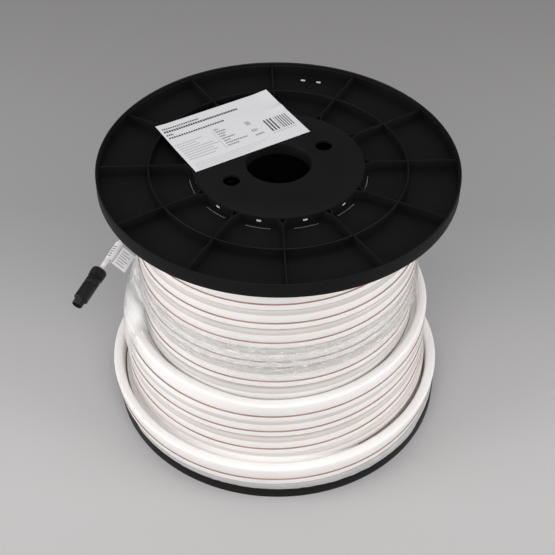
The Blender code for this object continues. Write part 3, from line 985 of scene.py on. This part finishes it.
def make_outer_turns():
    shape = Shape()
    sweep(shape, outer_path, OUTER_START, TAIL_TO, 120, RING_START)
    rows = []
    for step in range(361):
        angle = OUTER_START + (TAIL_FROM - OUTER_START) * step / 360
        radius, base = outer_path(angle)[:2]
        rows.append(slack_row(angle, WINDING_RADIUS + 0.0004, radius, base, base + SLACK_HEIGHT))
    shape.grid(rows, caps=True)
    shape.piece("outer_turns", STRIP_MATERIALS,
                ("neon_outer_turns", "neon_tail"))


def make_last_turn():
    shape = Shape()
    turn, slack = [], []
    for angle in range(0, 360, 2):
        turn.append(section_at(angle, *last_path(angle)))
        radius, base = last_path(angle)[:2]
        # the slack lies higher at the left and at the front
        top = base + 0.0035 + 0.0085 * max(0.0, -math.cos(math.radians(angle)))
        top += 0.0140 * max(0.0, -math.sin(math.radians(angle))) ** 3
        slack.append(slack_row(angle, OUTER_DEEP + 0.0020, radius, base, top))
    shape.grid(turn, loop_rows=True, slots=UNSHADED_SLOTS)
    shape.grid(slack, loop_rows=True)
    shape.piece("last_turn", STRIP_MATERIALS, ("neon_last_turn",))


make_winding()
make_outer_turns()
make_last_turn()


def make_cap():
    """The silicone cap on the strip's end, which the lead comes out of."""
    shape = Shape()
    wall = 0.0008
    half = STRIP_HEIGHT / 2
    rows = []
    for share, grow in ((0.0, wall * 0.6), (0.06, wall), (0.85, wall), (0.95, wall * 0.6),
                        (1.0, -0.0006)):
        angle = CAP_START + (CAP_END - CAP_START) * share
        rows.append([
            around(TAIL_END_RADIUS + out * (DOME_RADIUS + grow) / DOME_RADIUS, angle,
                   TAIL_END_BASE + half + (up - half) * (half + grow) / half)
            for out, up in SECTION])
    shape.grid(rows, caps=True)
    shape.piece("end_cap", [SILICONE], ("strip_end_cap",), 40.0)


make_cap()


# Sticker
def sticker_bars():
    """Plain dashes where the photograph's sticker is printed: lines, a rule and a bar block."""
    bars = [
        (0.023, 0.344, 0.884, 0.912, 0.019, 0.74, 0.90),
        (0.020, 0.674, 0.822, 0.858, 0.021, 0.76, 1.00),
        (0.020, 0.080, 0.756, 0.785, 0.019, 0.74, 0.90),
        (0.020, 0.500, 0.694, 0.725, 0.021, 0.74, 0.95),
        (0.3425, 0.3455, 0.215, 0.580, 0.0, 1.0, 0.55)]
    for index, right in enumerate((0.25, 0.19, 0.20, 0.30, 0.33, 0.27, 0.29, 0.25)):
        level = 0.545 - 0.0465 * index
        bars.append((0.018 + 0.002 * index, right, level, level + 0.017, 0.017, 0.75, 0.46))
    for index, right in enumerate((0.405, 0.455, 0.435, 0.420, 0.480, 0.425, 0.560, 0.465)):
        level = 0.582 - 0.049 * index
        bars.append((0.366, right, level, level + 0.022, 0.018, 0.76, 0.78))
    for index in range(4):
        level = 0.125 - 0.032 * index
        bars.append((0.030, 0.66 - 0.06 * index, level, level + 0.012, 0.017, 0.7, 0.30))
    return bars + [
        (0.615, 0.655, 0.475, 0.550, 0.010, 0.50, 0.80),
        (0.615, 0.665, 0.330, 0.380, 0.020, 0.50, 0.75),
        (0.615, 0.690, 0.245, 0.275, 0.014, 0.70, 0.70),
        (0.752, 0.836, 0.225, 0.470, 0.028, 0.55, 0.90),
        (0.846, 0.962, 0.225, 0.470, 0.021, 0.50, 0.80),
        (0.752, 0.962, 0.180, 0.205, 0.016, 0.50, 0.35)]


def make_sticker():
    paper = bars_material("sticker_paper", sticker_bars(), (0.035, 0.033, 0.038),
                          (0.69, 0.685, 0.70))
    turn = Matrix.Rotation(STICKER_AZIMUTH, 3, "Z")
    kink_at = 0.62

    def place(u, v):
        # the paper bridges the recess past the hub; it sags there and kinks over a rib
        flat = turn @ Vector(((u - 0.5) * STICKER_LENGTH, (v - 0.5) * STICKER_WIDTH, 0.0))
        point = Vector((STICKER_CENTRE[0] + flat.x, STICKER_CENTRE[1] + flat.y, 0.0))
        reach = math.hypot(point.x, point.y)
        off_hub = ease((reach - HUB_RADIUS) / 0.020)
        sag = -0.00035 * off_hub * ease(1 - (reach - HUB_RADIUS) / 0.080)
        kink = 0.0010 * math.exp(-((v - kink_at) / 0.05) ** 2) * ease((u - 0.80) / 0.20)
        curl = 0.0012 * ease((u - 0.86) / 0.14) * ease((v - 0.66) / 0.34)
        curl += 0.0008 * ease((0.10 - u) / 0.10) * ease((v - 0.5) / 0.5)
        height = STICKER_BASE + 0.0002 + sag + kink + curl
        point.z = min(height, REEL_HEIGHT - 0.0003)
        return point, Vector((0.0, 0.0, 1.0))

    paper_piece("paper_sticker", paper, 60, 44, place, 0.00025, "sticker")


make_sticker()


# Stretch film
FILM_BOTTOM = 0.150
FILM_TOP = 0.230
TENT_BOTTOM = 0.105
FILM_STAND_OFF = 0.0007
PUCKER = 0.0009
FINE_PUCKER = 0.0005


def film_material():
    """Clear film with glossy creases and white streaks of painted highlight along them; it clouds
    where it stands off the strip at the left.
    """
    film = Surface("clear_film", 0.10, IOR=1.9)
    # the UV runs in metres: round the winding, and up it
    place = film.add("UVMap", "UV")
    long_folds = film.noise(place, 110.0, 4.0, (0.25, 1.6, 1.0), turn=32.0, distortion=0.6)
    short_folds = film.noise(place, 170.0, 3.0, (0.5, 2.2, 1.0), turn=-38.0, distortion=0.6)
    cloud = film.tree.nodes.new("ShaderNodeVertexColor")
    cloud.layer_name = "cloud"
    milk = film.add("SeparateColor", "Red", Color=cloud.outputs["Color"])
    creasing = milk.node.outputs["Green"]
    veil = film.spread(long_folds, 0.24, 0.56, 0.38, 0.70)
    # white, opaque streaks along the short folds: painted highlight
    highlight_streak = film.spread(short_folds, 0.0, 0.60, 0.60, 0.72)
    folds = film.calculate("MULTIPLY", film.calculate("ADD", veil, highlight_streak), creasing)
    film.feed("Alpha", film.calculate("ADD", folds, film.spread(milk, 0.0, 0.88, 0.0, 1.0)))
    # grey between the folds, white on them; the white is painted highlight
    crease_highlight = film.ramp(short_folds, [(0.42, (0.73, 0.715, 0.705)), (0.62, (1.0, 0.99, 0.98))])
    film.feed("Base Color", film.mix(milk, crease_highlight, (0.97, 0.95, 0.935)))
    film.feed("Roughness", film.spread(long_folds, 0.06, 0.20))
    film.bump(film.calculate("ADD", long_folds, short_folds), 0.0016)
    return film.material


# radii of the film at these heights: where it spans to the top outer turn, and where it hugs it
TENT_HEIGHTS = (0.206, 0.195, 0.184, 0.172, 0.161, 0.150, 0.139, 0.127, 0.116, 0.105)
TENT_RADII = (0.1627, 0.1636, 0.1692, 0.1747, 0.1787, 0.1822, 0.1848, 0.1866, 0.1874, 0.1880)
HUG_RADII = (0.1627, 0.1627, 0.1630, 0.1640, 0.1655, 0.1685, 0.1765, 0.1840, 0.1868, 0.1878)


def profile_radius(radii, height):
    """Radius at a height, between the tent's heights."""
    if height >= TENT_HEIGHTS[0]:
        return radii[0]
    for index in range(len(radii) - 1):
        above, below = TENT_HEIGHTS[index], TENT_HEIGHTS[index + 1]
        if height >= below:
            share = (above - height) / (above - below)
            return radii[index] + (radii[index + 1] - radii[index]) * share
    return radii[-1]


def bearing(azimuth):
    """An azimuth in degrees from -180 to 180, with 0 at the right."""
    return (azimuth + 180.0) % 360.0 - 180.0


def film_point(azimuth_deg, share):
    """A point of the film: share 0 at its top edge and 1 at its bottom edge."""
    azimuth = math.radians(azimuth_deg)
    left = window(azimuth_deg, 138.0, 158.0, 202.0, 216.0)
    right = window(bearing(azimuth_deg), -26.0, -8.0, 8.0, 22.0)
    edge_noise = noise.noise(Vector((3 * math.cos(azimuth), 3 * math.sin(azimuth), 4.0)))
    top = FILM_TOP + 0.005 * edge_noise + 0.006 * math.cos(azimuth)
    low = FILM_BOTTOM + 0.003 * edge_noise + 0.004 * math.cos(azimuth)
    if 20.0 < azimuth_deg < 140.0:
        # at the back it stays above the top outer turn
        low = max(low, FILM_BOTTOM + 0.006)
    bottom = low + left * (TENT_BOTTOM - low)
    height = top + (bottom - top) * share
    radius = WINDING_RADIUS + FILM_STAND_OFF
    # the film stands off the groove and dome of each turn a little, and puckers
    pucker = noise.noise(Vector((9 * math.cos(azimuth), 9 * math.sin(azimuth), height * 55)))
    fine = noise.noise(Vector((26 * math.cos(azimuth), 26 * math.sin(azimuth), height * 150)))
    radius += PUCKER * abs(pucker) + FINE_PUCKER * abs(fine)
    if left > 0:
        # at the left it runs out over the top outer turn, and hugs it towards the front
        hug = ease((azimuth_deg - 182.0) / 18.0)
        tent = profile_radius(TENT_RADII, height)
        tent += (profile_radius(HUG_RADII, height) - tent) * hug
        radius = max(radius, radius + left * (tent + 0.0005 - radius))
    radius += right * 0.0032 * ease((FILM_TOP - 0.012 - height) / 0.020)
    radius += right * 0.0030 * ease((0.166 - height) / 0.014)
    return around(radius, azimuth, height)


def film_cloud(azimuth, share):
    """How milky the film is: most where it spans from the winding to the top outer turn."""
    left = window(azimuth, 140.0, 158.0, 196.0, 210.0)
    right = window(bearing(azimuth), -16.0, -4.0, 8.0, 22.0)
    over_ring = 0.34 + 0.62 * ease((share - 0.46) / 0.18)
    return left * over_ring + 0.45 * right * ease((share - 0.5) / 0.2)


def make_film():
    steps, levels = 420, 48
    shape = Shape()
    rows = []
    for step in range(steps):
        azimuth = 360.0 * step / steps
        rows.append([film_point(azimuth, level / levels) for level in range(levels + 1)])
    shape.grid(rows, loop_rows=True, loop_columns=False)
    mesh = shape.mesh("wrap_film", [film_material()], 80.0, recalculate=False)
    layer = mesh.uv_layers.new(name="UVMap")
    cloud = mesh.color_attributes.new("cloud", "FLOAT_COLOR", "POINT")
    width = levels + 1
    for face in mesh.polygons:
        indices = [mesh.loops[loop].vertex_index for loop in face.loop_indices]
        closing = max(indices) - min(indices) > 2 * width
        for loop, index in zip(face.loop_indices, indices):
            step = index // width
            turn = 1.0 if closing and step == 0 else step / steps
            layer.data[loop].uv = (math.tau * WINDING_RADIUS * turn, mesh.vertices[index].co.z)
    for index, vertex in enumerate(mesh.vertices):
        azimuth = 360.0 * (index // width) / steps
        share = (index % width) / levels
        # red is how milky it is, green how much its folds show: most in its middle band
        height = vertex.co.z
        folds = 0.15 + 0.85 * window(height, 0.163, 0.176, 0.206, 0.220)
        cloud.data[index].color = (film_cloud(azimuth, share), folds, 0.0, 1.0)
    place_piece("wrap_film", mesh, ("stretch_film",))


make_film()


# Floor and light
def make_floor():
    size = 4.0
    mesh = bpy.data.meshes.new("floor")
    corners = [(-size, -size, 0), (size, -size, 0), (size, size, 0), (-size, size, 0)]
    mesh.from_pydata(corners, [], [(0, 1, 2, 3)])
    paper = Surface("floor_paper_painted_falloff", 0.8)
    backward = paper.add("SeparateXYZ", "Y", Vector=paper.add("TexCoord", "Object"))
    # lighter at the front and darker towards the back: painted fall-off of the lamps' light
    paper.feed("Base Color", paper.ramp(paper.spread(backward, 0.0, 1.0, -0.35, 1.0), [
        (0.0, (0.45, 0.437, 0.44)), (0.17, (0.49, 0.477, 0.48)), (0.30, (0.455, 0.447, 0.45)),
        (0.50, (0.352, 0.348, 0.350)), (0.75, (0.345, 0.338, 0.338)),
        (1.0, (0.335, 0.328, 0.328))]))
    mesh.materials.append(paper.material)
    floor = linked("floor", mesh)


def area_light(name, location, target, size, power, size_y=None):
    data = bpy.data.lights.new(name, "AREA")
    data.shape = "RECTANGLE"
    data.size = size
    data.size_y = size_y or size
    data.energy = power
    look(linked(name, data), location, target)


def make_light():
    world = bpy.data.worlds.new("studio")
    world.use_nodes = True
    background = world.node_tree.nodes["Background"]
    background.inputs["Color"].default_value = (1.0, 0.985, 0.985, 1.0)
    background.inputs["Strength"].default_value = 0.22
    bpy.context.scene.world = world
    area_light("front", (0.0, -1.75, 1.5), (0.0, 0.0, 0.15), 2.2, 28.0, 1.3)
    area_light("top", (0.0, 0.2, 2.2), (0.0, 0.0, 0.2), 1.6, 8.0)
    area_light("left", (-1.75, -0.5, 0.95), (0.0, 0.0, 0.18), 1.2, 22.0)
    area_light("right", (1.75, -0.5, 0.95), (0.0, 0.0, 0.18), 1.2, 19.0)


make_floor()
make_light()
